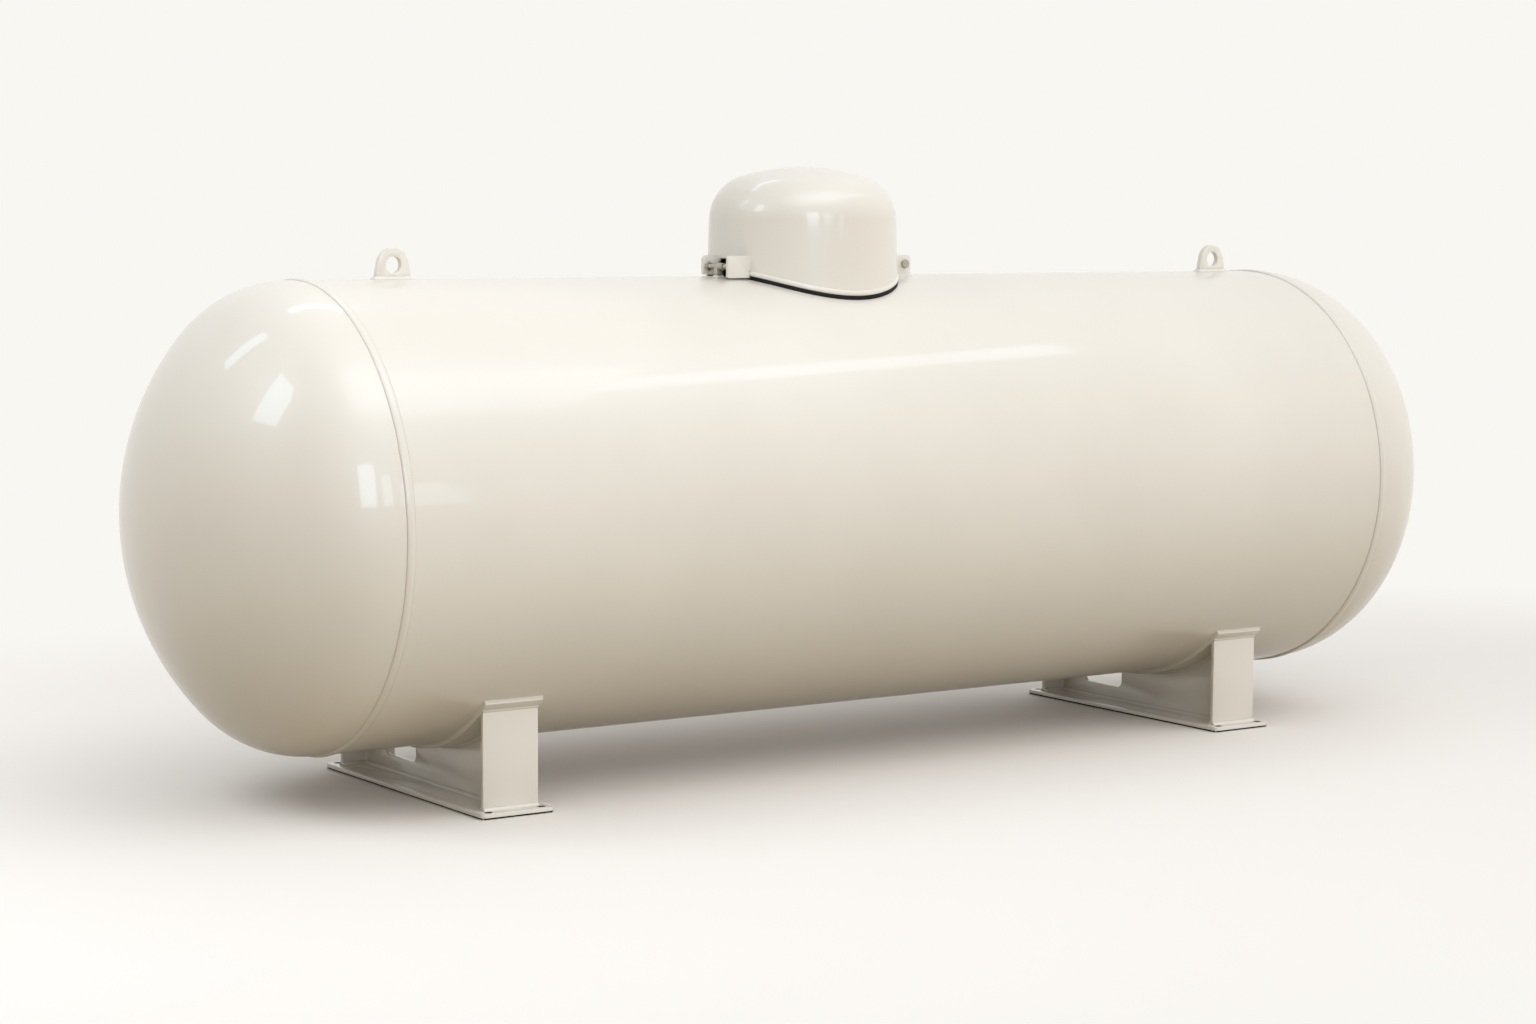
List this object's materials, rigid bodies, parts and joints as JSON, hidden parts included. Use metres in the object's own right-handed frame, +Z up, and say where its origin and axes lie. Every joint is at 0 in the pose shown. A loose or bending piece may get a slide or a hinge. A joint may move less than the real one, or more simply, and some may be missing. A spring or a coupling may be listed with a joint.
{
  "type": "horizontal pressure tank",
  "caption": "Cylindrical steel pressure tank with domed heads, lying on welded saddles, with lifting lugs and a hinged round hood over its fittings.",
  "frame": {"origin": "on the ground under the middle of the tank, at the underside of the base plates", "axes": "+X along the tank's axis towards its right-hand head, +Z up; -Y is the side that the picture shows"},
  "size_m": [3.21, 0.955, 1.292],
  "materials": {
    "cream_paint": "gloss",
    "black_rubber": "matte",
    "zinc_steel": "satin",
    "dark_steel": "satin",
    "brass": "satin",
    "cap_plastic": "matte",
    "cast_handwheel": "satin",
    "gauge_metal": "satin"
  },
  "bodies": {
    "tank": {"shell": "cream_paint", "head_left": "cream_paint", "head_right": "cream_paint", "seam_weld_left": "cream_paint", "seam_weld_right": "cream_paint", "lifting_lug_left": "cream_paint", "lifting_lug_right": "cream_paint", "saddle_left_base_plate": "cream_paint", "saddle_left_web": "cream_paint", "saddle_left_end_plate_front": "cream_paint", "saddle_left_end_plate_back": "cream_paint", "saddle_left_wear_plate": "cream_paint", "saddle_right_base_plate": "cream_paint", "saddle_right_web": "cream_paint", "saddle_right_end_plate_front": "cream_paint", "saddle_right_end_plate_back": "cream_paint", "saddle_right_wear_plate": "cream_paint", "hood_hinge_knuckle": "cream_paint", "latch_ear": "cream_paint", "latch_bolt": "zinc_steel", "latch_nut": "dark_steel", "fitting_collars": "cream_paint", "relief_valve": "brass", "relief_valve_cap": "black_rubber", "fill_valve": "brass", "fill_valve_cap": "cap_plastic", "vapour_valve": "brass", "vapour_valve_handwheel": "cast_handwheel", "liquid_valve": "brass", "liquid_valve_handwheel": "cast_handwheel", "float_gauge": "gauge_metal"},
    "hood": {"hood_shell": "cream_paint", "hood_rim_seal": "black_rubber", "hood_latch_tab": "cream_paint", "hinge_ear_front": "cream_paint", "hinge_ear_back": "cream_paint", "hinge_bolt": "zinc_steel", "hinge_nut": "zinc_steel"}
  },
  "joints": [
    {"name": "hood_hinge", "type": "hinge", "parent": "tank", "child": "hood", "pos_m": [-0.288, -0.0295, 1.076], "axis": [0, -1, 0], "range_deg": [0, 98]}
  ]
}
